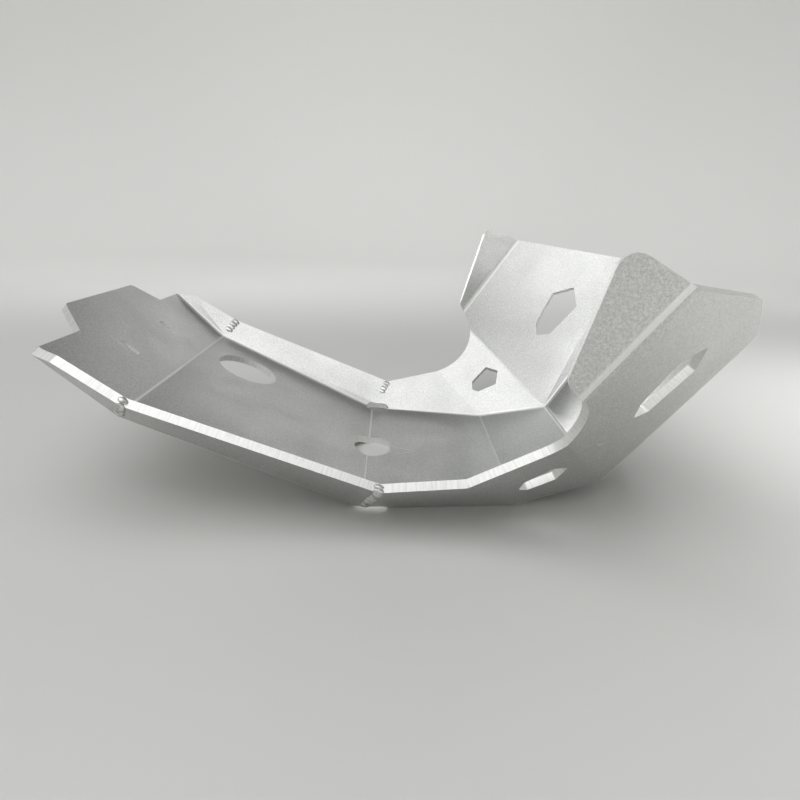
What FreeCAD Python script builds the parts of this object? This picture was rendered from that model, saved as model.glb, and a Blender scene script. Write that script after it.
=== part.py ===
import FreeCAD, Part
import math
import os

# Motorcycle skid plate: one sheet of aluminium, folded and welded at the corners.
# +X points to the front of the motorcycle, +Y to its left side, +Z up.
# All panel lengths, widths and outlines are measured on the inside face of the sheet.

# Sheet, and the inside radius of its folds
SHEET = 5.0
FOLD_RADIUS = 5.0
WING_FOLD_RADIUS = 6.0

# Floor strip from tail to front: length and slope of each panel
TAIL_LENGTH = 53.0
TAIL_SLOPE = 42.0
RAMP_LENGTH = 145.5
RAMP_SLOPE = 23.5
BELLY_LENGTH = 95.5
RISE_LENGTH = 57.5
RISE_SLOPE = 12.3
FRONT_LENGTH = 119.5
FRONT_SLOPE = 55.7

# Width of the floor strip at the tail edge, at each cross fold and at the front edge.
# It reaches further to the right under the belly, so two folds have their middle off the centre.
TAIL_EDGE_WIDTH = 200.0
TAIL_FOLD_WIDTH = 192.0
RAMP_FOLD_WIDTH = 168.0
RAMP_FOLD_MIDDLE = -2.0
BELLY_FOLD_WIDTH = 148.6
BELLY_FOLD_MIDDLE = -3.3
RISE_FOLD_WIDTH = 130.0
FRONT_EDGE_WIDTH = 159.0

# Bend of each side panel out of its floor panel, and of the wing out of the front wall
LEFT_TAIL_FLANGE_BEND = 47.0
RIGHT_TAIL_FLANGE_BEND = 44.5
LEFT_RAMP_FLANGE_BEND = 45.3
RIGHT_RAMP_FLANGE_BEND = 42.8
LEFT_BELLY_WALL_BEND = 38.8
RIGHT_BELLY_WALL_BEND = 40.0
LEFT_RISE_WALL_BEND = 44.2
RIGHT_RISE_WALL_BEND = 48.6
FRONT_WALL_BEND = 49.1
WING_BEND = 48.0

# Length of each welded corner seam, from the floor up
LEFT_TAIL_SEAM = 20.8
RIGHT_TAIL_SEAM = 24.0
LEFT_RAMP_SEAM = 32.2
RIGHT_RAMP_SEAM = 44.5
LEFT_BELLY_SEAM = 61.0
RIGHT_BELLY_SEAM = 67.8

# Tail edge: a tapered tab between two shoulders, and the start of the flange beyond them
TAB_LENGTH = 20.0
TAB_ROOT_WIDTH = 122.0
TAB_TIP_WIDTH = 92.0
TAB_OFFSET = 4.0
TAIL_CORNER_RADIUS = 4.0
FLANGE_START = (11.5, 11.0)

# Outline of the front wall with the wing unfolded: distance along the fold, then up from it.
# The right wing is folded lower, and the round notch behind it is cut deeper.
LEFT_FRONT_TOP_CORNER = (140.8, 27.6)
RIGHT_FRONT_TOP_CORNER = (131.9, 42.6)
FRONT_TOP_RADIUS = 2.0
WING_TIP_RADIUS = 9.0
LEFT_WING_FOLD_REAR = (32.0, 123.2)
LEFT_WING_FOLD_FRONT = (110.9, 121.8)
LEFT_WING_TIP = (103.1, 153.6)
LEFT_WING_ROOT = (31.7, 130.0)
LEFT_WING_ROOT_RADIUS = 5.0
LEFT_NOTCH_CORNER = (4.5, 76.3)
LEFT_NOTCH_RADIUS = 43.5
RIGHT_WING_FOLD_REAR = (47.0, 110.6)
RIGHT_WING_FOLD_FRONT = (112.4, 109.6)
RIGHT_WING_TIP = (109.4, 143.3)
RIGHT_WING_ROOT = (46.2, 120.2)
RIGHT_WING_ROOT_RADIUS = 8.0
RIGHT_NOTCH_CORNER = (44.0, 74.2)
RIGHT_NOTCH_RADIUS = 26.0

# Openings in the floor
DRAIN_DIAMETER = 47.0
DRAIN_FROM_FOLD = 108.5
DRAIN_OFFSET = 45.0
FOLD_HOLE_LENGTH = 35.0
FOLD_HOLE_WIDTH = 27.0
FOLD_HOLE_CENTRE = (3.0, -3.4)
STRAP_SLOT_LENGTH = 14.0
STRAP_SLOT_WIDTH = 5.0
STRAP_SLOT_FROM_FOLD = 30.0
STRAP_SLOT_SPACING = 64.0
RELIEF_LENGTH = 20.0
RELIEF_WIDTH = 11.0
RELIEF_FROM_CORNER = 5.0

# Six-cornered vents: corners in each wall's own plane
FRONT_VENT = [(85.5, 60.0), (99.5, 47.0), (86.5, 34.0), (54.0, 38.3), (47.0, 47.5), (56.0, 55.5)]
LEFT_RISE_VENT = [(11.8, 48.0), (22.0, 42.5), (18.3, 29.0), (1.8, 24.0), (-3.3, 27.0), (-2.4, 35.0)]
RIGHT_RISE_VENT = [(12.0, 47.8), (22.0, 42.5), (18.4, 29.0), (1.5, 24.0), (-5.4, 28.5), (-4.3, 38.0)]
VENT_CORNER_RADIUS = 1.5

# Weld beads along the outside of the low corner seams. The seams of the high walls are ground flush.
BEAD_RADIUS = 2.2
BEAD_PROUD = 0.8

# Working sizes that only have to reach past the part
BLOCK = 1200.0
MARGIN = 40.0

Vector = FreeCAD.Vector


class Panel:
    """A flat panel: a point and a direction on its inside face, and its outward normal."""

    def __init__(self, origin, along, outward):
        self.origin = origin
        self.u = Vector(along).normalize()
        self.n = Vector(outward).normalize()
        self.v = self.u.cross(self.n).normalize()

    def at(self, u, v, depth=0.0):
        return self.origin + self.u * u + self.v * v + self.n * depth

    def where(self, point):
        offset = point - self.origin
        return Vector(offset.dot(self.u), offset.dot(self.v), 0)


def floor_panel(start, slope):
    angle = math.radians(slope)
    along = Vector(math.cos(angle), 0, math.sin(angle))
    return Panel(start, along, Vector(math.sin(angle), 0, -math.cos(angle)))


def folded_panel(parent, start, end, bend):
    along = (end - start).normalize()
    beyond_fold = along.cross(parent.n)
    angle = math.radians(bend)
    outward = parent.n * math.cos(angle) + beyond_fold * math.sin(angle)
    return Panel(start, along, outward)


def seam_direction(rear, front):
    line = rear.n.cross(front.n).normalize()
    return line if line.z > 0 else line * -1


# Solids with one flat side: the mould from which the tray is cut

def half_space(point, outward):
    block = Part.makeBox(BLOCK, BLOCK, BLOCK, Vector(-BLOCK / 2, -BLOCK / 2, -BLOCK))
    block.Placement = FreeCAD.Placement(point, FreeCAD.Rotation(Vector(0, 0, 1), outward))
    return block


def mitre_side(panel, neighbour):
    across = neighbour.n - panel.n
    distance = neighbour.n.dot(neighbour.origin) - panel.n.dot(panel.origin)
    point = across * (distance / across.dot(across))
    return half_space(point, across)


def fold_rounding(parent, child, radius, offset):
    half_turn = parent.n.getAngle(child.n) / 2
    outer = radius + offset
    bisector = (parent.n + child.n).normalize()
    centre = child.origin + bisector * ((offset - outer) / math.cos(half_turn))
    tangent_parent = centre + parent.n * outer
    tangent_child = centre + child.n * outer
    outside_parent = centre + parent.n * outer * 2
    outside_child = centre + child.n * outer * 2
    crown = centre + bisector * outer
    outline = Part.Wire([
        Part.Arc(tangent_parent, crown, tangent_child).toShape(),
        Part.makeLine(tangent_child, outside_child),
        Part.makeLine(outside_child, outside_parent),
        Part.makeLine(outside_parent, tangent_parent),
    ])
    along = parent.n.cross(child.n).normalize()
    outline.translate(along * (-BLOCK / 2))
    return Part.Face(outline).extrude(along * BLOCK)


def tray_body(panels, folds, wing_folds, wing_reach, offset):
    """The space inside all the panels. A wing's plane only counts within the wings' reach."""
    body = Part.makeBox(BLOCK, BLOCK, BLOCK, Vector(-BLOCK / 2, -BLOCK / 2, -BLOCK / 2))
    for panel in panels:
        body = body.common(half_space(panel.at(0, 0, offset), panel.n))
    for parent, child, radius in folds:
        body = body.cut(fold_rounding(parent, child, radius, offset))
    for front_wall, wing in wing_folds:
        beyond = half_space(wing.at(0, 0, offset), wing.n * -1)
        corner = fold_rounding(front_wall, wing, WING_FOLD_RADIUS, offset)
        body = body.cut([beyond.common(wing_reach), corner.common(wing_reach)])
    return body


# Outlines: corners are (u, v, radius) in a panel's plane

def outline_wire(panel, corners, depth):
    stops = []
    for index, (u, v, radius) in enumerate(corners):
        here = Vector(u, v, 0)
        before = Vector(corners[index - 1][0], corners[index - 1][1], 0)
        following = corners[(index + 1) % len(corners)]
        after = Vector(following[0], following[1], 0)
        if radius == 0:
            stops.append((here, None, here))
            continue
        back = (before - here).normalize()
        ahead = (after - here).normalize()
        half = back.getAngle(ahead) / 2
        reach = radius / math.tan(half)
        middle = (back + ahead).normalize()
        crown = here + middle * (radius / math.sin(half) - radius)
        stops.append((here + back * reach, crown, here + ahead * reach))

    def place(point):
        return panel.at(point.x, point.y, depth)

    edges = []
    for index, (enter, crown, leave) in enumerate(stops):
        if crown is not None:
            edges.append(Part.Arc(place(enter), place(crown), place(leave)).toShape())
        next_enter = stops[(index + 1) % len(stops)][0]
        if leave.distanceToPoint(next_enter) > 1e-6:
            edges.append(Part.makeLine(place(leave), place(next_enter)))
    return Part.Wire(edges)


def prism(panel, corners, reach=3 * SHEET):
    face = Part.Face(outline_wire(panel, corners, -reach))
    return face.extrude(panel.n * (2 * reach))


def waste_beyond(panel, outline, span, neighbours):
    """What to cut off round a panel: a band beyond its outline, up to the mitre with its neighbours."""
    u_low, u_high, v_low, v_high = span
    band = prism(panel, [(u_low, v_low, 0), (u_high, v_low, 0), (u_high, v_high, 0), (u_low, v_high, 0)])
    band = band.cut(prism(panel, outline, 4 * SHEET))
    for neighbour in neighbours:
        band = band.common(mitre_side(panel, neighbour))
    return band


def waste_above(panel, rear, front, neighbours):
    """The same for a side panel with one straight top edge between two seams."""
    rear = panel.where(rear)
    front = panel.where(front)
    line = (front - rear).normalize() * MARGIN
    start = rear - line
    end = front + line
    outline = [(start.x, start.y, 0), (end.x, end.y, 0), (end.x, -MARGIN, 0), (start.x, -MARGIN, 0)]
    high = max(start.y, end.y) + MARGIN
    return waste_beyond(panel, outline, (rear.x - MARGIN / 2, front.x + MARGIN / 2, 0, high), neighbours)


def obround(panel, u, v, length, width):
    radius = width / 2
    half = length / 2
    return prism(panel, [
        (u - half, v - radius, radius), (u + half, v - radius, radius),
        (u + half, v + radius, radius), (u - half, v + radius, radius),
    ])


def mirror_to_right(shape):
    return shape.mirror(Vector(0, 0, 0), Vector(0, 1, 0))


# Floor panels, tail to front. The ramp and the belly meet at the origin on the inside face.

ramp_drop = math.radians(RAMP_SLOPE)
tail_drop = math.radians(TAIL_SLOPE)
ramp_start = Vector(-RAMP_LENGTH * math.cos(ramp_drop), 0, RAMP_LENGTH * math.sin(ramp_drop))
tail_start = ramp_start + Vector(-TAIL_LENGTH * math.cos(tail_drop), 0, TAIL_LENGTH * math.sin(tail_drop))

tail = floor_panel(tail_start, -TAIL_SLOPE)
ramp = floor_panel(ramp_start, -RAMP_SLOPE)
belly = floor_panel(Vector(0, 0, 0), 0)
rise = floor_panel(belly.at(BELLY_LENGTH, 0), RISE_SLOPE)
front = floor_panel(rise.at(RISE_LENGTH, 0), FRONT_SLOPE)
floor = [tail, ramp, belly, rise, front]

# Side panels. Both sides are built on the left, and the right one is mirrored.

class Side:
    """One side of the plate: its fold line's corners, its panels and the tops of its seams."""

    def __init__(self, half_widths, bends, seams, wing_fold):
        places = [tail.at(0, 0), ramp.at(0, 0), belly.at(0, 0), rise.at(0, 0), front.at(0, 0), front.at(FRONT_LENGTH, 0)]
        self.corners = [place + Vector(0, half, 0) for place, half in zip(places, half_widths)]
        self.walls = [
            folded_panel(parent, start, end, bend)
            for parent, start, end, bend in zip(floor, self.corners, self.corners[1:], bends)
        ]
        front_wall = self.walls[-1]
        rear, fore = wing_fold
        self.wing = folded_panel(front_wall, front_wall.at(*rear), front_wall.at(*fore), WING_BEND)
        self.panels = self.walls + [self.wing]
        self.seam_tops = [
            corner + seam_direction(behind, ahead) * seam
            for corner, behind, ahead, seam in zip(self.corners[1:], self.walls, self.walls[1:], seams)
        ]


def half_widths(side):
    """Half the floor strip's width at its ends and folds, on the left for 1 and on the right for -1."""
    return [
        TAIL_EDGE_WIDTH / 2, TAIL_FOLD_WIDTH / 2, RAMP_FOLD_WIDTH / 2 + side * RAMP_FOLD_MIDDLE,
        BELLY_FOLD_WIDTH / 2 + side * BELLY_FOLD_MIDDLE, RISE_FOLD_WIDTH / 2, FRONT_EDGE_WIDTH / 2,
    ]


left = Side(
    half_widths(1),
    (LEFT_TAIL_FLANGE_BEND, LEFT_RAMP_FLANGE_BEND, LEFT_BELLY_WALL_BEND, LEFT_RISE_WALL_BEND, FRONT_WALL_BEND),
    (LEFT_TAIL_SEAM, LEFT_RAMP_SEAM, LEFT_BELLY_SEAM),
    (LEFT_WING_FOLD_REAR, LEFT_WING_FOLD_FRONT),
)
right = Side(
    half_widths(-1),
    (RIGHT_TAIL_FLANGE_BEND, RIGHT_RAMP_FLANGE_BEND, RIGHT_BELLY_WALL_BEND, RIGHT_RISE_WALL_BEND, FRONT_WALL_BEND),
    (RIGHT_TAIL_SEAM, RIGHT_RAMP_SEAM, RIGHT_BELLY_SEAM),
    (RIGHT_WING_FOLD_REAR, RIGHT_WING_FOLD_FRONT),
)


def mirrored(panel):
    def flip(vector):
        return Vector(vector.x, -vector.y, vector.z)
    return Panel(flip(panel.origin), flip(panel.u), flip(panel.n))


# The tray before trimming: an outer body less an inner one, both with rounded folds

folds = [(a, b, FOLD_RADIUS) for a, b in zip(floor, floor[1:])]
for parent, left_wall, right_wall in zip(floor, left.walls, right.walls):
    folds.append((parent, left_wall, FOLD_RADIUS))
    folds.append((parent, mirrored(right_wall), FOLD_RADIUS))
panels = floor + left.walls + [mirrored(wall) for wall in right.walls]
wing_folds = [(left.walls[-1], left.wing), (mirrored(right.walls[-1]), mirrored(right.wing))]
wing_reach = half_space(belly.at(0, 0), Vector(-1, 0, 0))

outer_body = tray_body(panels, folds, wing_folds, wing_reach, SHEET)
inner_body = tray_body(panels, folds, wing_folds, wing_reach, 0.0)
tray = outer_body.cut(inner_body)


# Trimming: a band beyond each panel's outline is cut away, which frees the plate from the rest

def carry(point, source, target, pivot):
    """Turn a point of the source's plane into the target's plane, about the line they share."""
    turn = math.degrees(source.n.getAngle(target.n))
    rotation = FreeCAD.Rotation(source.n.cross(target.n), turn)
    return pivot + rotation.multVec(point - pivot)


def carry_outline(corners, source, target, pivot):
    carried = []
    for u, v, radius in corners:
        place = target.where(carry(source.at(u, v), source, target, pivot))
        carried.append((place.x, place.y, radius))
    return carried


def side_waste(side, front_top, wing_fold_front, wing_tip, wing_root, notch):
    tail_flange, ramp_flange, belly_wall, rise_wall, front_wall, wing = side.panels
    tail_seam_top, ramp_seam_top, belly_seam_top = side.seam_tops
    rise_corner, front_edge = side.corners[-2:]
    top = tail_flange.where(tail_seam_top)
    start = Vector(*FLANGE_START, 0)
    beyond = top + (top - start).normalize() * MARGIN
    tail_outline = [
        (0, -MARGIN, 0), (0, 0, TAIL_CORNER_RADIUS), (*FLANGE_START, TAIL_CORNER_RADIUS),
        (beyond.x, beyond.y, 0), (beyond.x, -MARGIN, 0),
    ]
    tail_span = (-MARGIN / 2, top.x + MARGIN / 2, -MARGIN / 2, top.y + MARGIN)

    # One flat outline runs over the rise wall, the front wall and the wing
    def flat_place(point):
        return front_wall.where(carry(point, rise_wall, front_wall, rise_corner))

    notch_start = flat_place(belly_seam_top)
    rear_fold = flat_place(rise_wall.at(-MARGIN, -MARGIN))
    middle_fold = flat_place(rise_wall.at(rise_wall.where(rise_corner).x, -MARGIN))
    front_end = front_wall.where(front_edge)
    flat = [
        (notch_start.x - MARGIN, notch_start.y, 0), (notch_start.x, notch_start.y, 0),
        notch, wing_root, (*wing_tip, WING_TIP_RADIUS),
        (*wing_fold_front, 0), (*front_top, FRONT_TOP_RADIUS), (front_end.x, 0, 0),
        (front_end.x, -MARGIN, 0), (middle_fold.x, middle_fold.y, 0), (rear_fold.x, rear_fold.y, 0),
    ]
    on_rise_wall = carry_outline(flat, front_wall, rise_wall, rise_corner)
    on_wing = carry_outline(flat, front_wall, wing, wing.origin)
    seam_foot = rise_wall.where(rise_corner)
    rise_span = (rise_wall.where(belly_seam_top).x - MARGIN / 2, seam_foot.x, 0, wing_tip[1])
    front_span = (-MARGIN / 2, front_top[0] + MARGIN / 2, -MARGIN / 2, wing_tip[1])
    wing_span = (-MARGIN / 2, wing_fold_front[0], -MARGIN / 2, wing_tip[1] - wing_fold_front[1] + MARGIN)
    return [
        waste_beyond(tail_flange, tail_outline, tail_span, [tail, ramp_flange]),
        waste_above(ramp_flange, tail_seam_top, ramp_seam_top, [tail_flange, belly_wall]),
        waste_above(belly_wall, ramp_seam_top, belly_seam_top, [ramp_flange, rise_wall]),
        waste_beyond(rise_wall, on_rise_wall, rise_span, [belly_wall, front_wall]),
        waste_beyond(front_wall, flat, front_span, [front, rise_wall, wing]),
        waste_beyond(wing, on_wing, wing_span, [front_wall]),
    ]


def floor_waste():
    reach = TAIL_EDGE_WIDTH
    tab_root = TAB_ROOT_WIDTH / 2
    tab_tip = TAB_TIP_WIDTH / 2
    tail_outline = [
        (-TAB_LENGTH, TAB_OFFSET - tab_tip, TAIL_CORNER_RADIUS), (0, TAB_OFFSET - tab_root, 0),
        (0, -reach, 0), (MARGIN, -reach, 0), (MARGIN, reach, 0), (0, reach, 0),
        (0, TAB_OFFSET + tab_root, 0), (-TAB_LENGTH, TAB_OFFSET + tab_tip, TAIL_CORNER_RADIUS),
    ]
    front_outline = [
        (0, -reach, 0), (FRONT_LENGTH, -reach, 0), (FRONT_LENGTH, reach, 0), (0, reach, 0),
    ]
    inset = reach - 1
    tail_span = (-TAB_LENGTH - MARGIN, MARGIN / 2, -inset, inset)
    front_span = (FRONT_LENGTH / 2, FRONT_LENGTH + MARGIN, -inset, inset)
    return [
        waste_beyond(tail, tail_outline, tail_span, [left.walls[0], mirrored(right.walls[0])]),
        waste_beyond(front, front_outline, front_span, [left.walls[-1], mirrored(right.walls[-1])]),
    ]


left_waste = side_waste(
    left, LEFT_FRONT_TOP_CORNER, LEFT_WING_FOLD_FRONT, LEFT_WING_TIP,
    (*LEFT_WING_ROOT, LEFT_WING_ROOT_RADIUS), (*LEFT_NOTCH_CORNER, LEFT_NOTCH_RADIUS),
)
right_waste = side_waste(
    right, RIGHT_FRONT_TOP_CORNER, RIGHT_WING_FOLD_FRONT, RIGHT_WING_TIP,
    (*RIGHT_WING_ROOT, RIGHT_WING_ROOT_RADIUS), (*RIGHT_NOTCH_CORNER, RIGHT_NOTCH_RADIUS),
)
waste = floor_waste() + left_waste + [mirror_to_right(band) for band in right_waste]


# Weld beads along the outside of the two low corner seams of each side

def weld_bead(rear, front, corner):
    half_turn = rear.n.getAngle(front.n) / 2
    bisector = (rear.n + front.n).normalize()
    line = seam_direction(rear, front)
    depth = SHEET / math.cos(half_turn) + BEAD_PROUD - BEAD_RADIUS
    start = corner + bisector * depth + line * (FOLD_RADIUS + SHEET)
    rod = Part.makeCylinder(BEAD_RADIUS, BLOCK / 4, start, line)
    return rod.fuse(Part.makeSphere(BEAD_RADIUS, start))


def side_beads(side):
    return [weld_bead(side.walls[i], side.walls[i + 1], side.corners[i + 1]) for i in (0, 1)]


# Openings

cuts = []
drain_centre = ramp.at(RAMP_LENGTH - DRAIN_FROM_FOLD, DRAIN_OFFSET, -MARGIN)
cuts.append(Part.makeCylinder(DRAIN_DIAMETER / 2, 2 * MARGIN, drain_centre, ramp.n))
fold_hole_plane = Panel(Vector(*FOLD_HOLE_CENTRE, 0), Vector(0, 1, 0), Vector(0, 0, 1))
cuts.append(obround(fold_hole_plane, 0, 0, FOLD_HOLE_LENGTH, FOLD_HOLE_WIDTH))
slot_u = TAIL_LENGTH - STRAP_SLOT_FROM_FOLD
for slot_v in (STRAP_SLOT_SPACING / 2, -STRAP_SLOT_SPACING / 2):
    cuts.append(obround(tail, slot_u, slot_v, STRAP_SLOT_LENGTH, STRAP_SLOT_WIDTH))


def side_cuts(side, rise_vent):
    belly_wall, rise_wall, front_wall = side.walls[2:]
    relief_plane = Panel(side.corners[2], belly_wall.u, belly.n + belly_wall.n)
    return [
        obround(relief_plane, RELIEF_FROM_CORNER, 0, RELIEF_LENGTH, RELIEF_WIDTH),
        prism(front_wall, [(*corner, VENT_CORNER_RADIUS) for corner in FRONT_VENT]),
        prism(rise_wall, [(*corner, VENT_CORNER_RADIUS) for corner in rise_vent]),
    ]


cuts = cuts + side_cuts(left, LEFT_RISE_VENT) + [mirror_to_right(cut) for cut in side_cuts(right, RIGHT_RISE_VENT)]

beads = side_beads(left) + [mirror_to_right(bead) for bead in side_beads(right)]
middle = belly.at(BELLY_LENGTH / 2, 0, SHEET / 2)
trimmed = tray.fuse(beads).cut(waste + cuts)
plate = [solid for solid in trimmed.Solids if solid.isInside(middle, SHEET / 10, True)][0]
plate = plate.removeSplitter()

# Stand the plate on its belly, with the origin under the middle of its length and width
bounds = plate.optimalBoundingBox(False, False)
plate.translate(Vector(-bounds.Center.x, -bounds.Center.y, -bounds.ZMin))

os.makedirs("parts", exist_ok=True)
plate.exportStep("parts/skid_plate.step")
print("size", round(bounds.XLength, 1), round(bounds.YLength, 1), round(bounds.ZLength, 1))
print("solids", len(plate.Solids), "valid", plate.isValid(), "volume cm3", round(plate.Volume / 1000, 2))
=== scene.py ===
import math
import bmesh
import bpy
from mathutils import Matrix, Vector


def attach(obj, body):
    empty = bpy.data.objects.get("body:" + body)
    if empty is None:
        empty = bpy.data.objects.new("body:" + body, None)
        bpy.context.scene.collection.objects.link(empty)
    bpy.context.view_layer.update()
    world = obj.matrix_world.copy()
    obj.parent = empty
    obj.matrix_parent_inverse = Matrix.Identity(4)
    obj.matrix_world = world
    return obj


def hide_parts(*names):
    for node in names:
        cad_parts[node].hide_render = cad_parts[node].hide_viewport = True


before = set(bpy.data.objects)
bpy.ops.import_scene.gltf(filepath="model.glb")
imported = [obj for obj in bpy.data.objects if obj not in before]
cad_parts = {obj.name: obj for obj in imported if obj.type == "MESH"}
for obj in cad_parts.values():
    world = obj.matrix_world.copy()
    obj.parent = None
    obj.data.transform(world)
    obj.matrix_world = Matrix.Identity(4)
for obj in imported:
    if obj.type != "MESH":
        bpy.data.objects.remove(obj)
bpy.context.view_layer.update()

mm = 0.001
noiseLow, noiseHigh = 0.3, 0.7  # nearly all values of a noise texture lie between these


def linearColor(hexText):
    channels = [int(hexText[i:i + 2], 16) / 255 for i in (1, 3, 5)]
    return [c / 12.92 if c <= 0.04045 else ((c + 0.055) / 1.055) ** 2.4 for c in channels] + [1.0]


def addNode(tree, kind, settings=None, links=None):
    # A setting is an input where the node has one of that name or number, and otherwise a property.
    # Inputs 6 and 7 of a colour Mix are its two colours, and output 2 is the mixed one.
    node = tree.nodes.new(kind)
    for name, value in (settings or {}).items():
        if isinstance(name, int) or name in node.inputs:
            node.inputs[name].default_value = value
        else:
            setattr(node, name, value)
    for name, source in (links or {}).items():
        tree.links.new(source, node.inputs[name])
    return node


# Sheet: the folded plate. Its rolled faces, its cut edges and its deburred corners are finished apart.
rolledSlot, cutSlot, cornerSlot = 0, 1, 2
sheetSizes = {
    "mergeDistance": 0.002 * mm,
    "flatAngle": 0.4,  # triangles that turn less than this become one face
    "foldAngle": 1.5,  # neighbouring strips of a fold turn more than this
    "smoothAngle": 24,  # and less than this
    "edgeAngle": 50,  # a turn above this is the corner of a cut edge
    "foldStrip": 2.5 * mm,  # the strips of a narrow fold are narrower than this
    "wingStrip": 4.5 * mm,  # and those of a wing's wide fold narrower than this
    "wingFoldsFrom": 105 * mm,  # the wings' folds lie further out than this
    # strength of the highlight painted along the middle of the wings' bends
    "wingBendHighlight": 0.75,
    "deburr": 0.75 * mm,
    "deburrSegments": 2,
    "deburrRoundness": 0.6,
}


def facePatches(bm, angle):
    # Groups of faces that join without a turn above the angle, largest first
    patches, seen = [], set()
    for first in bm.faces:
        if first in seen:
            continue
        patch, waiting = [], [first]
        seen.add(first)
        while waiting:
            face = waiting.pop()
            patch.append(face)
            for edge in face.edges:
                if len(edge.link_faces) == 2 and edge.calc_face_angle() <= angle:
                    for other in edge.link_faces:
                        if other not in seen:
                            seen.add(other)
                            waiting.append(other)
        patches.append(patch)
    return sorted(patches, key=lambda patch: -sum(face.calc_area() for face in patch))


def markCutEdges(bm, angle):
    # The two largest patches are the rolled faces, and all others are cut edges. The map of a cut edge
    # runs along the cut in u and through the sheet in v, in metres.
    for patch in facePatches(bm, angle)[2:]:
        for face in patch:
            face.material_index = cutSlot
    cutMap = bm.loops.layers.uv.new("cutEdge")
    for face in bm.faces:
        if face.material_index == rolledSlot:
            continue
        rims = [e for e in face.edges if any(f.material_index == rolledSlot for f in e.link_faces)]
        longest = max(rims or face.edges, key=lambda e: e.calc_length())
        along = (longest.verts[1].co - longest.verts[0].co).normalized()
        across = face.normal.cross(along)
        for loop in face.loops:
            loop[cutMap].uv = (loop.vert.co.dot(along), loop.vert.co.dot(across))


def markFolds(bm, sizes):
    # Masks for a painted highlight: one is 1 on the strips of the narrow folds, and the other rises to the
    # wings' share of the highlight in the middle of their wide folds.
    foldHighlight = bm.faces.layers.float.new("foldHighlight")
    bendHighlight = bm.verts.layers.float.new("bendHighlight")
    least, most = math.radians(sizes["foldAngle"]), math.radians(sizes["smoothAngle"])
    wingStrips = set()
    for face in bm.faces:
        if face.material_index != rolledSlot:
            continue
        turns = [e.calc_face_angle() for e in face.edges if len(e.link_faces) == 2]
        if sum(least < turn < most for turn in turns) < 2:
            continue
        width = face.calc_area() / max(e.calc_length() for e in face.edges)
        if abs(face.calc_center_median().y) < sizes["wingFoldsFrom"]:
            if width < sizes["foldStrip"]:
                face[foldHighlight] = 1.0
        elif width < sizes["wingStrip"]:
            wingStrips.add(face)
    for vert in bm.verts:
        rolled = [f for f in vert.link_faces if f.material_index == rolledSlot]
        if rolled and all(f in wingStrips for f in rolled):
            vert[bendHighlight] = sizes["wingBendHighlight"]


def makeSheet(sizes):
    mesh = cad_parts["skid_plate"].data.copy()
    mesh.name = "foldedSheet"
    mesh.materials.clear()
    bm = bmesh.new()
    bm.from_mesh(mesh)
    bmesh.ops.remove_doubles(bm, verts=bm.verts, dist=sizes["mergeDistance"])
    bmesh.ops.dissolve_limit(bm, angle_limit=math.radians(sizes["flatAngle"]),
                             verts=bm.verts, edges=bm.edges)
    for face in bm.faces:
        face.material_index = rolledSlot
    edgeAngle = math.radians(sizes["edgeAngle"])
    markCutEdges(bm, edgeAngle)
    markFolds(bm, sizes)
    corners = [e for e in bm.edges if len(e.link_faces) == 2 and e.calc_face_angle() > edgeAngle]
    bmesh.ops.bevel(bm, geom=corners, offset=sizes["deburr"], segments=sizes["deburrSegments"],
                    profile=sizes["deburrRoundness"], affect="EDGES", clamp_overlap=True,
                    material=cornerSlot)
    bm.to_mesh(mesh)
    bm.free()
    mesh.shade_smooth()
    mesh.set_sharp_from_angle(angle=math.radians(sizes["smoothAngle"]))
    sheet = bpy.data.objects.new("folded_sheet", mesh)
    bpy.context.scene.collection.objects.link(sheet)
    # The flat panels keep their own normals, so that only folds and corners shade as round
    weighted = sheet.modifiers.new("weighted", "WEIGHTED_NORMAL")
    weighted.keep_sharp = True
    return sheet


# Mill finish aluminium plate, as rolled and then blasted lightly: a satin grey with no mirror in it,
# a fine sparkling grain, cloudy patches from handling, knocks rubbed brighter, and a highlight painted
# along the folds
plateFinish = {
    "color": "#dcdddb",
    "grainDark": "#b8b9b7",
    # the highlight painted on the folds and the wings' bends, and the colour of the rubs
    "highlightAndRubColor": "#f4f4f2",
    "roughness": 0.38,
    "roughnessGrain": 0.05,
    "roughnessCloud": 0.05,
    "grain": 0.8 * mm,  # the real grit is near 0.2 mm, too fine to show, so it is drawn coarser
    "mottle": 1.4 * mm,
    "cloud": 34 * mm,
    "pits": (0.72, 1.28),  # sums of grain and mottle that are all dark and all bright
    "bump": 0.45,
    "bumpDepth": 0.06 * mm,
    # Rubs: two ends and half a width, in mm from the plate's origin
    "rubs": (
        # beside the right strap slot
        ((-181.4, -41.1, 91.7), (-171.0, -41.4, 82.3), 0.35),
        ((-185.6, -14.1, 95.5), (-180.5, -14.6, 91.0), 0.45),
        ((-180.6, -23.0, 90.9), (-179.8, -23.0, 90.2), 0.8),
        # beside the left strap slot
        ((-179.4, 23.6, 89.9), (-176.3, 22.6, 87.1), 0.5),
        ((-177.6, 27.8, 88.4), (-176.6, 27.0, 87.4), 0.4),
        # on the belly, ahead of the obround hole
        ((0.5, -4.5, 5.0), (15.5, -12.1, 5.0), 0.35),
        ((2.0, -9.0, 5.0), (18.9, -12.7, 5.0), 0.3),
        ((4.2, -19.9, 5.0), (16.9, -15.7, 5.0), 0.35),
        # round the vent of the right front wall
        ((114.3, -112.0, 55.5), (121.0, -107.0, 55.4), 0.7),
        ((119.3, -106.0, 51.2), (124.3, -104.0, 55.2), 0.5),
        ((116.0, -105.0, 47.0), (122.4, -98.6, 41.7), 0.4),
    ),
    "rubCore": 0.3,  # share of a rub's half width that is rubbed all through
    # how far the painted fold highlight and the rubs lighten the colour
    "highlightAndRubStrength": 0.9,
    "rubRoughness": 0.14,
}


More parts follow.
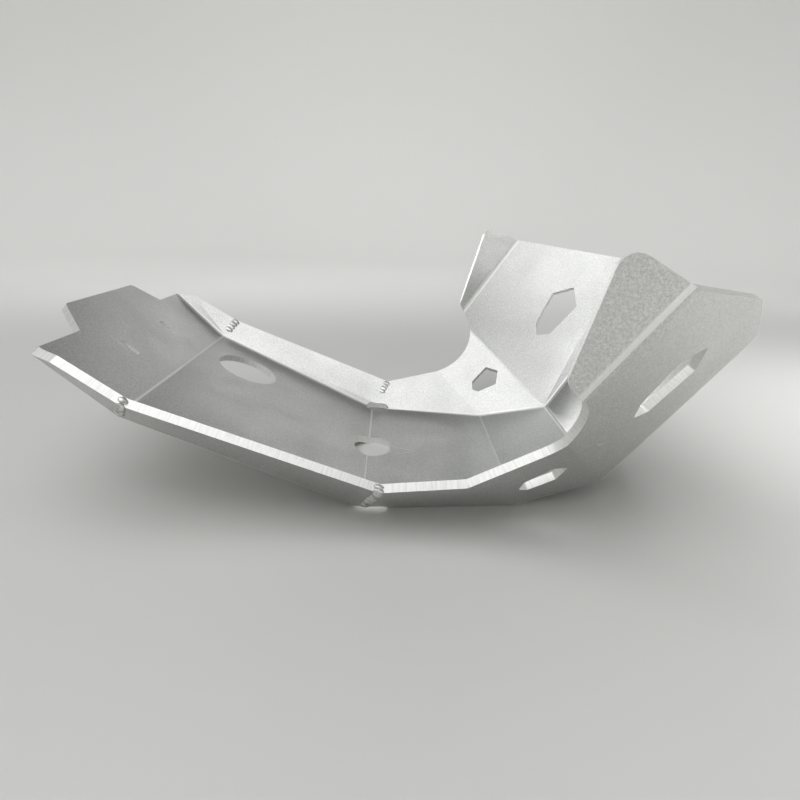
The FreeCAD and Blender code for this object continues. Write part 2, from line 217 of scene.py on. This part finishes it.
def rubMask(tree, place, rub, core):
    # 1 on the segment between the rub's ends and 0 a half width away from it
    first, last, half = Vector(rub[0]) * mm, Vector(rub[1]) * mm, rub[2] * mm
    run = last - first
    away = addNode(tree, "ShaderNodeVectorMath", {"operation": "SUBTRACT", 1: first}, {0: place})
    along = addNode(tree, "ShaderNodeVectorMath",
                    {"operation": "DOT_PRODUCT", 1: run / run.length_squared},
                    {0: away.outputs["Vector"]})
    held = addNode(tree, "ShaderNodeClamp", {}, {"Value": along.outputs["Value"]})
    foot = addNode(tree, "ShaderNodeVectorMath", {"operation": "SCALE", 0: run},
                   {"Scale": held.outputs["Result"]})
    gap = addNode(tree, "ShaderNodeVectorMath", {"operation": "DISTANCE"},
                  {0: away.outputs["Vector"], 1: foot.outputs["Vector"]})
    fade = addNode(tree, "ShaderNodeMapRange",
                   {"From Min": half * core, "From Max": half, "To Min": 1.0, "To Max": 0.0},
                   {"Value": gap.outputs["Value"]})
    return fade.outputs["Result"]


def plateMaterial(finish):
    material = bpy.data.materials.new("millFinishAluminium")
    material.use_nodes = True
    tree = material.node_tree
    shader = tree.nodes["Principled BSDF"]
    shader.inputs["Metallic"].default_value = 1.0
    place = addNode(tree, "ShaderNodeTexCoord").outputs["Object"]
    grain = addNode(tree, "ShaderNodeTexNoise",
                    {"Scale": 1 / finish["grain"], "Detail": 2.0, "Roughness": 0.6}, {"Vector": place})
    mottle = addNode(tree, "ShaderNodeTexNoise",
                     {"Scale": 1 / finish["mottle"], "Detail": 3.0, "Roughness": 0.65}, {"Vector": place})
    cloud = addNode(tree, "ShaderNodeTexNoise",
                    {"Scale": 1 / finish["cloud"], "Detail": 2.0, "Distortion": 0.4}, {"Vector": place})
    blasted = addNode(tree, "ShaderNodeMath", {"operation": "ADD"},
                      {0: grain.outputs["Fac"], 1: mottle.outputs["Fac"]})

    # Colour: darker in the pits between the grains, a painted highlight on the folds, and bright where rubs
    # wore it
    pits = addNode(tree, "ShaderNodeMapRange",
                   {"From Min": finish["pits"][0], "From Max": finish["pits"][1]},
                   {"Value": blasted.outputs["Value"]})
    # The highlight painted on the folds and the wings' bends, with the rubs over it
    foldHighlight = addNode(tree, "ShaderNodeAttribute", {"attribute_name": "foldHighlight"})
    bendHighlight = addNode(tree, "ShaderNodeAttribute", {"attribute_name": "bendHighlight"})
    highlightAndRubMask = addNode(tree, "ShaderNodeMath", {"operation": "MAXIMUM"},
                    {0: foldHighlight.outputs["Fac"], 1: bendHighlight.outputs["Fac"]})
    for rub in finish["rubs"]:
        highlightAndRubMask = addNode(tree, "ShaderNodeMath", {"operation": "MAXIMUM"},
                        {0: highlightAndRubMask.outputs["Value"], 1: rubMask(tree, place, rub, finish["rubCore"])})
    grey = addNode(tree, "ShaderNodeMix", {
        "data_type": "RGBA", 6: linearColor(finish["grainDark"]), 7: linearColor(finish["color"]),
    }, {0: pits.outputs["Result"]})
    highlightAndRub = addNode(tree, "ShaderNodeMath", {"operation": "MULTIPLY", 1: finish["highlightAndRubStrength"]},
                     {0: highlightAndRubMask.outputs["Value"]})
    color = addNode(tree, "ShaderNodeMix", {"data_type": "RGBA", 7: linearColor(finish["highlightAndRubColor"])},
                    {0: highlightAndRub.outputs["Value"], 6: grey.outputs[2]})
    tree.links.new(color.outputs[2], shader.inputs["Base Color"])

    # Roughness: grain, the wider clouds over it, and more where the surface has been worked
    fine = addNode(tree, "ShaderNodeMapRange", {
        "From Min": noiseLow, "From Max": noiseHigh,
        "To Min": finish["roughness"] - finish["roughnessGrain"],
        "To Max": finish["roughness"] + finish["roughnessGrain"],
    }, {"Value": mottle.outputs["Fac"]})
    broad = addNode(tree, "ShaderNodeMapRange", {
        "From Min": noiseLow, "From Max": noiseHigh,
        "To Min": -finish["roughnessCloud"], "To Max": finish["roughnessCloud"],
    }, {"Value": cloud.outputs["Fac"]})
    base = addNode(tree, "ShaderNodeMath", {"operation": "ADD"},
                   {0: fine.outputs["Result"], 1: broad.outputs["Result"]})
    rough = addNode(tree, "ShaderNodeMath",
                    {"operation": "MULTIPLY_ADD", "use_clamp": True, 1: finish["rubRoughness"]},
                    {0: highlightAndRubMask.outputs["Value"], 2: base.outputs["Value"]})
    tree.links.new(rough.outputs["Value"], shader.inputs["Roughness"])
    bump = addNode(tree, "ShaderNodeBump", {"Strength": finish["bump"], "Distance": finish["bumpDepth"]},
                   {"Height": blasted.outputs["Value"]})
    tree.links.new(bump.outputs["Normal"], shader.inputs["Normal"])
    return material


# Laser cut aluminium edge: bright fresh metal under a thin whitish oxide that scatters light, so it is
# only partly metallic, rougher than the faces and lined through the thickness
cutFinish = {
    "color": "#f2f2f0",
    "lineColor": "#e4e4e2",
    "lineTones": (0.35, 0.6),
    "metallic": 0.65,
    "roughness": 0.46,
    "roughnessLine": 0.04,
    "line": 1.3 * mm,  # the real lines are 0.3 mm apart and wouldn't show, so they are drawn coarser
    "lineStretch": 0.08,  # a line's width as a share of its length through the sheet
    "bump": 0.12,
    "bumpDepth": 0.05 * mm,
}


def cutMaterial(finish):
    material = bpy.data.materials.new("laserCutAluminium")
    material.use_nodes = True
    tree = material.node_tree
    shader = tree.nodes["Principled BSDF"]
    shader.inputs["Metallic"].default_value = finish["metallic"]
    spot = addNode(tree, "ShaderNodeUVMap", {"uv_map": "cutEdge"})
    lineScale = (1 / finish["line"], finish["lineStretch"] / finish["line"], 1.0)
    drawn = addNode(tree, "ShaderNodeMapping", {"Scale": lineScale}, {"Vector": spot.outputs["UV"]})
    lines = addNode(tree, "ShaderNodeTexNoise", {"Scale": 1.0, "Detail": 2.0, "Roughness": 0.6},
                    {"Vector": drawn.outputs["Vector"]})
    tone = addNode(tree, "ShaderNodeMapRange",
                   {"From Min": finish["lineTones"][0], "From Max": finish["lineTones"][1]},
                   {"Value": lines.outputs["Fac"]})
    color = addNode(tree, "ShaderNodeMix", {
        "data_type": "RGBA", 6: linearColor(finish["lineColor"]), 7: linearColor(finish["color"]),
    }, {0: tone.outputs["Result"]})
    tree.links.new(color.outputs[2], shader.inputs["Base Color"])
    rough = addNode(tree, "ShaderNodeMapRange", {
        "From Min": noiseLow, "From Max": noiseHigh,
        "To Min": finish["roughness"] + finish["roughnessLine"],
        "To Max": finish["roughness"] - finish["roughnessLine"],
    }, {"Value": lines.outputs["Fac"]})
    tree.links.new(rough.outputs["Result"], shader.inputs["Roughness"])
    bump = addNode(tree, "ShaderNodeBump", {"Strength": finish["bump"], "Distance": finish["bumpDepth"]},
                   {"Height": lines.outputs["Fac"]})
    tree.links.new(bump.outputs["Normal"], shader.inputs["Normal"])
    return material


# Deburred corner: the file and the sanding pad leave a thin line of bright, slightly torn metal
deburrFinish = {
    "color": "#ffffff",
    "wornColor": "#e6e6e4",
    "roughness": 0.55,
    "roughnessTear": 0.1,
    "tear": 1.6 * mm,
    "bump": 0.4,
    "bumpDepth": 0.08 * mm,
}


def deburrMaterial(finish):
    material = bpy.data.materials.new("deburredAluminium")
    material.use_nodes = True
    tree = material.node_tree
    shader = tree.nodes["Principled BSDF"]
    shader.inputs["Metallic"].default_value = 1.0
    place = addNode(tree, "ShaderNodeTexCoord").outputs["Object"]
    tear = addNode(tree, "ShaderNodeTexNoise",
                   {"Scale": 1 / finish["tear"], "Detail": 3.0, "Roughness": 0.7}, {"Vector": place})
    color = addNode(tree, "ShaderNodeMix", {
        "data_type": "RGBA", 6: linearColor(finish["wornColor"]), 7: linearColor(finish["color"]),
    }, {0: tear.outputs["Fac"]})
    tree.links.new(color.outputs[2], shader.inputs["Base Color"])
    rough = addNode(tree, "ShaderNodeMapRange", {
        "From Min": noiseLow, "From Max": noiseHigh,
        "To Min": finish["roughness"] - finish["roughnessTear"],
        "To Max": finish["roughness"] + finish["roughnessTear"],
    }, {"Value": tear.outputs["Fac"]})
    tree.links.new(rough.outputs["Result"], shader.inputs["Roughness"])
    bump = addNode(tree, "ShaderNodeBump", {"Strength": finish["bump"], "Distance": finish["bumpDepth"]},
                   {"Height": tear.outputs["Fac"]})
    tree.links.new(bump.outputs["Normal"], shader.inputs["Normal"])
    return material


sheet = makeSheet(sheetSizes)
# In the order of the slots: rolled faces, cut edges, deburred corners
for finished in (plateMaterial(plateFinish), cutMaterial(cutFinish), deburrMaterial(deburrFinish)):
    sheet.data.materials.append(finished)
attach(sheet, "root")
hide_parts("skid_plate")
print("sheet:", len(sheet.data.polygons), "faces")

# Welds: ripples along the four low corner seams, up the outside, over the top edge and a little way down
# the inside
weldSizes = {
    "pitch": 3.0 * mm,  # the real ripples are near 2 mm, too close together to show
    "overlap": 0.7,  # a ripple's half length along the bead, as a share of the pitch
    "unevenness": 0.12,
    "seed": 3,
    "rippleSegments": 20,
    "rippleRings": 12,
    "inside": 12 * mm,  # how far the bead runs down the inside
    "fromCorner": 10 * mm,  # where it starts on the outside, above the floor's corner
    "belowTop": 0.8 * mm,
    "belowRim": 0.1 * mm,
    "insideHalf": (3.7 * mm, 0.95 * mm),  # half width and height
    "edgeHalf": (3.0 * mm, 1.1 * mm),
    "outsideHalf": (3.0 * mm, 1.5 * mm),
    "thickness": 5 * mm,
    # Each seam's inside line: its foot and its top in mm, and the way out through the sheet
    "seams": {
        "leftTail": ((-149.49, 92.13, 63.02), (-140.15, 106.37, 74.96), (-0.319, 0.724, -0.612)),
        "leftBelly": ((-16.06, 78.13, 5.0), (-2.52, 100.34, 23.98), (-0.074, 0.674, -0.735)),
        "rightTail": ((-149.49, -99.87, 63.02), (-138.87, -117.03, 76.0), (-0.346, -0.693, -0.632)),
        "rightBelly": ((-16.06, -89.87, 5.0), (-5.36, -122.58, 33.2), (-0.094, -0.668, -0.738)),
    },
}


def weldPath(seam, sizes):
    # Each step of the path: its place, the way its bead stands up, and the bead's half width and height
    foot, top, out = (Vector(part) for part in seam)
    foot, top = foot * mm, top * mm
    line = (top - foot).normalized()
    through = out * sizes["thickness"]
    nearTop = top - line * sizes["belowTop"]
    return [
        (top - line * sizes["inside"], -out, sizes["insideHalf"]),
        (nearTop, -out, sizes["insideHalf"]),
        (top - line * sizes["belowRim"] + through / 2, line, sizes["edgeHalf"]),
        (nearTop + through, out, sizes["outsideHalf"]),
        (foot + line * sizes["fromCorner"] + through, out, sizes["outsideHalf"]),
    ]


def weldTree(sizes, material):
    tree = bpy.data.node_groups.new("weldRipples", "GeometryNodeTree")
    sockets = tree.interface
    sockets.new_socket("Path", in_out="INPUT", socket_type="NodeSocketGeometry")
    inputs = {}
    for name, kind in (("Ripple Pitch", "Float"), ("Ripple Overlap", "Float"),
                       ("Unevenness", "Float"), ("Seed", "Int")):
        inputs[name] = sockets.new_socket(name, in_out="INPUT", socket_type="NodeSocket" + kind).identifier
    sockets.new_socket("Welds", in_out="OUTPUT", socket_type="NodeSocketGeometry")

    # The path in even steps, and a ball that becomes one ripple on each
    given = addNode(tree, "NodeGroupInput").outputs
    curve = addNode(tree, "GeometryNodeMeshToCurve", {}, {"Mesh": given["Path"]})
    steps = addNode(tree, "GeometryNodeResampleCurve", {"mode": "LENGTH"},
                    {"Curve": curve.outputs["Curve"], "Length": given["Ripple Pitch"]})
    ball = addNode(tree, "GeometryNodeMeshUVSphere",
                   {"Segments": sizes["rippleSegments"], "Rings": sizes["rippleRings"], "Radius": 1.0})

    # Turned with X standing up from the sheet and Z along the bead
    proud = addNode(tree, "GeometryNodeInputNamedAttribute", {"data_type": "FLOAT_VECTOR", "Name": "proud"})
    tangent = addNode(tree, "GeometryNodeInputTangent")
    up = addNode(tree, "FunctionNodeAlignRotationToVector", {"axis": "X"},
                 {"Vector": proud.outputs["Attribute"]})
    turn = addNode(tree, "FunctionNodeAlignRotationToVector", {"axis": "Z", "pivot_axis": "X"},
                   {"Rotation": up.outputs["Rotation"], "Vector": tangent.outputs["Tangent"]})

    # Sized by the bead's half width and height there, a little uneven as a hand lays it
    half = addNode(tree, "GeometryNodeInputNamedAttribute", {"data_type": "FLOAT", "Name": "halfWidth"})
    height = addNode(tree, "GeometryNodeInputNamedAttribute", {"data_type": "FLOAT", "Name": "height"})
    least = addNode(tree, "ShaderNodeMath", {"operation": "SUBTRACT", 0: 1.0}, {1: given["Unevenness"]})
    most = addNode(tree, "ShaderNodeMath", {"operation": "ADD", 0: 1.0}, {1: given["Unevenness"]})
    # Inputs 2 and 3 of a Random Value are its least and most float, and output 1 is the float
    vary = addNode(tree, "FunctionNodeRandomValue", {"data_type": "FLOAT"},
                   {2: least.outputs["Value"], 3: most.outputs["Value"], "Seed": given["Seed"]})
    tall = addNode(tree, "ShaderNodeMath", {"operation": "MULTIPLY"},
                   {0: height.outputs["Attribute"], 1: vary.outputs[1]})
    wide = addNode(tree, "ShaderNodeMath", {"operation": "MULTIPLY"},
                   {0: half.outputs["Attribute"], 1: vary.outputs[1]})
    thick = addNode(tree, "ShaderNodeMath", {"operation": "MULTIPLY"},
                    {0: given["Ripple Pitch"], 1: given["Ripple Overlap"]})
    size = addNode(tree, "ShaderNodeCombineXYZ", {}, {
        "X": tall.outputs["Value"], "Y": wide.outputs["Value"], "Z": thick.outputs["Value"],
    })
    ripples = addNode(tree, "GeometryNodeInstanceOnPoints", {}, {
        "Points": steps.outputs["Curve"], "Instance": ball.outputs["Mesh"],
        "Rotation": turn.outputs["Rotation"], "Scale": size.outputs["Vector"],
    })
    plain = addNode(tree, "GeometryNodeRealizeInstances", {}, {"Geometry": ripples.outputs["Instances"]})
    finished = addNode(tree, "GeometryNodeSetMaterial", {"Material": material},
                       {"Geometry": plain.outputs["Geometry"]})
    addNode(tree, "NodeGroupOutput", {}, {"Welds": finished.outputs["Geometry"]})
    return tree, inputs


def makeWelds(sizes, material):
    bm = bmesh.new()
    proud = bm.verts.layers.float_vector.new("proud")
    halfWidth = bm.verts.layers.float.new("halfWidth")
    height = bm.verts.layers.float.new("height")
    for seam in sizes["seams"].values():
        verts = []
        for place, way, half in weldPath(seam, sizes):
            vert = bm.verts.new(place)
            vert[proud], vert[halfWidth], vert[height] = way, half[0], half[1]
            verts.append(vert)
        for pair in zip(verts, verts[1:]):
            bm.edges.new(pair)
    paths = bpy.data.meshes.new("weldPaths")
    bm.to_mesh(paths)
    bm.free()
    guide = bpy.data.objects.new("weldGuide", paths)
    bpy.context.scene.collection.objects.link(guide)
    tree, inputs = weldTree(sizes, material)
    ripples = guide.modifiers.new("ripples", "NODES")
    ripples.node_group = tree
    for name, key in (("Ripple Pitch", "pitch"), ("Ripple Overlap", "overlap"),
                      ("Unevenness", "unevenness"), ("Seed", "seed")):
        ripples[inputs[name]] = sizes[key]
    bpy.context.view_layer.update()
    mesh = bpy.data.meshes.new_from_object(guide.evaluated_get(bpy.context.evaluated_depsgraph_get()))
    mesh.name = "weldRipples"
    guide.modifiers.remove(ripples)
    bpy.data.objects.remove(guide)
    mesh.shade_smooth()
    welds = bpy.data.objects.new("weld_ripples", mesh)
    bpy.context.scene.collection.objects.link(welds)
    return welds


# TIG weld in aluminium: frozen ripples, bright and smooth in places and greyer and rougher where soot stays
weldFinish = {
    "color": "#dededc",
    "sootColor": "#a9aaa8",
    "sootTones": (0.35, 0.55),
    "soot": 3.5 * mm,
    "roughness": 0.38,
    "sootRoughness": 0.12,
    "cleanSmoothness": 0.05,
}


def weldMaterial(finish):
    material = bpy.data.materials.new("tigWeldAluminium")
    material.use_nodes = True
    tree = material.node_tree
    shader = tree.nodes["Principled BSDF"]
    shader.inputs["Metallic"].default_value = 1.0
    place = addNode(tree, "ShaderNodeTexCoord").outputs["Object"]
    soot = addNode(tree, "ShaderNodeTexNoise", {"Scale": 1 / finish["soot"], "Detail": 3.0},
                   {"Vector": place})
    tone = addNode(tree, "ShaderNodeMapRange",
                   {"From Min": finish["sootTones"][0], "From Max": finish["sootTones"][1]},
                   {"Value": soot.outputs["Fac"]})
    color = addNode(tree, "ShaderNodeMix", {
        "data_type": "RGBA", 6: linearColor(finish["sootColor"]), 7: linearColor(finish["color"]),
    }, {0: tone.outputs["Result"]})
    tree.links.new(color.outputs[2], shader.inputs["Base Color"])
    rough = addNode(tree, "ShaderNodeMapRange", {
        "From Min": noiseLow, "From Max": noiseHigh,
        "To Min": finish["roughness"] + finish["sootRoughness"],
        "To Max": finish["roughness"] - finish["cleanSmoothness"],
    }, {"Value": soot.outputs["Fac"]})
    tree.links.new(rough.outputs["Result"], shader.inputs["Roughness"])
    return material


welds = makeWelds(weldSizes, weldMaterial(weldFinish))
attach(welds, "root")
print("welds:", len(welds.data.polygons), "faces")

# Studio: a pale matt floor that curves up all round, soft lights over the camera side, low panels that
# the walls and wings mirror, a wash on each side of the backdrop, and a dim sky
studio = {
    "floor": "#d6d6d4",
    "floorRoughness": 0.9,
    "floorRadius": 1.6,
    "floorCurve": 1.2,
    "floorWall": 0.6,
    "floorRings": 8,
    "curveRings": 16,
    "floorTurns": 96,
    "mergeDistance": 0.5 * mm,
    "sky": "#ffffff",
    "skyStrength": 0.12,
    # Each light: size, place and aim in metres, radiance, and how far its beam spreads in degrees
    "lights": {
        "overhead": ((1.7, 1.1), (-0.2, -0.2, 1.2), (-0.1, -0.04, 0.0), 1.5, 180),
        "leftKey": ((0.7, 0.5), (-0.56, -0.67, 0.97), (0.0, 0.0, 0.08), 1.2, 180),
        "edgeLight": ((0.7, 0.4), (-0.2, -0.85, 1.1), (0.0, 0.0, 0.05), 0.8, 180),
        "wingPanel": ((1.0, 0.4), (1.0, -1.5, 0.2), (0.05, 0.14, 0.14), 1.6, 180),
        "frontFloor": ((0.35, 0.8), (0.55, -0.05, 0.75), (0.55, -0.05, 0.0), 1.1, 60),
        "backLow": ((0.6, 0.3), (-0.8, 1.2, 0.42), (0.15, 0.0, 0.08), 0.9, 70),
        "backHigh": ((0.9, 0.3), (0.22, 1.5, 0.75), (0.0, 0.0, 0.05), 0.06, 70),
        "backWash": ((2.4, 0.6), (0.0, 0.6, 1.4), (0.0, 2.5, 0.3), 4.6, 140),
        "nearWash": ((2.4, 0.6), (0.0, -0.6, 1.4), (0.0, -2.3, 0.1), 4.0, 140),
        "frontWash": ((2.0, 0.6), (0.7, 0.0, 1.4), (2.5, 0.0, 0.3), 2.6, 140),
        "rearWash": ((2.0, 0.6), (-0.7, 0.0, 1.4), (-2.5, 0.0, 0.3), 2.6, 140),
    },
}


def makeFloor(values):
    # Half a cross-section, flat and then curving up into a short wall, spun round the middle
    rings, bends = values["floorRings"], values["curveRings"]
    profile = [(values["floorRadius"] * k / rings, 0.0) for k in range(rings + 1)]
    for k in range(1, bends + 1):
        turn = math.radians(90 * k / bends)
        profile.append((values["floorRadius"] + values["floorCurve"] * math.sin(turn),
                        values["floorCurve"] * (1 - math.cos(turn))))
    profile.append((profile[-1][0], profile[-1][1] + values["floorWall"]))
    bm = bmesh.new()
    verts = [bm.verts.new((x, 0, z)) for x, z in profile]
    edges = [bm.edges.new(pair) for pair in zip(verts, verts[1:])]
    bmesh.ops.spin(bm, geom=verts + edges, cent=(0, 0, 0), axis=(0, 0, 1), angle=math.tau,
                   steps=values["floorTurns"])
    bmesh.ops.remove_doubles(bm, verts=bm.verts, dist=values["mergeDistance"])
    bmesh.ops.recalc_face_normals(bm, faces=bm.faces)
    mesh = bpy.data.meshes.new("floor")
    bm.to_mesh(mesh)
    bm.free()
    if mesh.polygons[0].normal.z < 0:
        mesh.flip_normals()
    mesh.shade_smooth()
    paint = bpy.data.materials.new("paleFloor")
    paint.use_nodes = True
    shader = paint.node_tree.nodes["Principled BSDF"]
    shader.inputs["Base Color"].default_value = linearColor(values["floor"])
    shader.inputs["Roughness"].default_value = values["floorRoughness"]
    mesh.materials.append(paint)
    floor = bpy.data.objects.new("floor", mesh)
    bpy.context.scene.collection.objects.link(floor)


def addSoftLight(name, size, place, aim, radiance, spread):
    lamp = bpy.data.lights.new(name, "AREA")
    lamp.shape = "RECTANGLE"
    lamp.size, lamp.size_y = size
    lamp.energy = radiance * math.pi * size[0] * size[1]
    lamp.spread = math.radians(spread)
    light = bpy.data.objects.new(name, lamp)
    light.location = place
    light.rotation_euler = (Vector(aim) - Vector(place)).to_track_quat("-Z", "Y").to_euler()
    light.visible_camera = False
    bpy.context.scene.collection.objects.link(light)


def makeStudio(values):
    makeFloor(values)
    world = bpy.data.worlds.new("studioWorld")
    bpy.context.scene.world = world
    world.use_nodes = True
    sky = world.node_tree.nodes["Background"]
    sky.inputs["Color"].default_value = linearColor(values["sky"])
    sky.inputs["Strength"].default_value = values["skyStrength"]
    for name, setting in values["lights"].items():
        addSoftLight(name, *setting)
    bpy.context.scene.view_settings.view_transform = "Standard"


# Camera: solved on the photograph's folds and corners. Its focal length is in pixels of the photograph.
view = {
    "place": (-3.44 * mm, -393.37 * mm, 173.45 * mm),
    "pitch": 18.719,
    "yaw": 1.495,
    "roll": -2.291,
    "focalPixels": 555.37,
    "imagePixels": 800,
    "sensor": 36.0,
    "clipStart": 10 * mm,
}


def makeCamera(values):
    pitch = math.radians(values["pitch"])
    yaw = math.radians(values["yaw"])
    roll = math.radians(values["roll"])
    forward = Vector((math.sin(yaw) * math.cos(pitch), math.cos(yaw) * math.cos(pitch), -math.sin(pitch)))
    level = Vector((math.cos(yaw), -math.sin(yaw), 0))
    steep = forward.cross(level)
    right = level * math.cos(roll) + steep * math.sin(roll)
    down = steep * math.cos(roll) - level * math.sin(roll)
    data = bpy.data.cameras.new("photoCamera")
    data.sensor_width = values["sensor"]
    data.lens = values["focalPixels"] / values["imagePixels"] * values["sensor"]
    data.clip_start = values["clipStart"]
    camera = bpy.data.objects.new("photoCamera", data)
    turn = Matrix((right, -down, -forward)).transposed().to_4x4()
    camera.matrix_world = Matrix.Translation(values["place"]) @ turn
    bpy.context.scene.collection.objects.link(camera)
    bpy.context.scene.camera = camera


makeStudio(studio)
makeCamera(view)
print("studio and camera ready")
